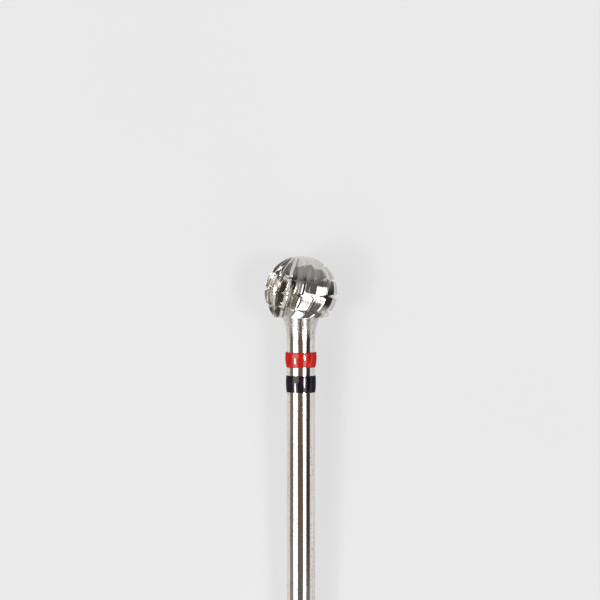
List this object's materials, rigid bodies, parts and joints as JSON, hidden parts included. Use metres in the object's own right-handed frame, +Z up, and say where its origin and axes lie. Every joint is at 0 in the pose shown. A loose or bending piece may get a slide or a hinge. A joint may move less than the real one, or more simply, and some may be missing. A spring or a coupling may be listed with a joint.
{
  "type": "pedicure bit",
  "caption": "Ball-shaped fluted carbide bit with chip breakers on a straight steel shank with two colour rings, for an electric foot file.",
  "frame": {"origin": "centre of the bounding box's bottom, on the surface that the bit lies on", "axes": "+Z up, +Y along the bit towards the ball, whose end is raised by about 2.5 degrees as it lies"},
  "size_m": [0.006, 0.0444, 0.0059],
  "materials": {
    "carbide": "ground tungsten carbide with mirror-like facets",
    "solder": "silver solder film",
    "steel": "bright drawn and polished stainless steel",
    "red_enamel": "glossy red enamel",
    "black_enamel": "glossy black enamel"
  },
  "bodies": {
    "root": {"cutting_head": "carbide", "braze_joint": "solder", "shank": "steel", "red_ring": "red_enamel", "black_ring": "black_enamel"}
  },
  "joints": []
}
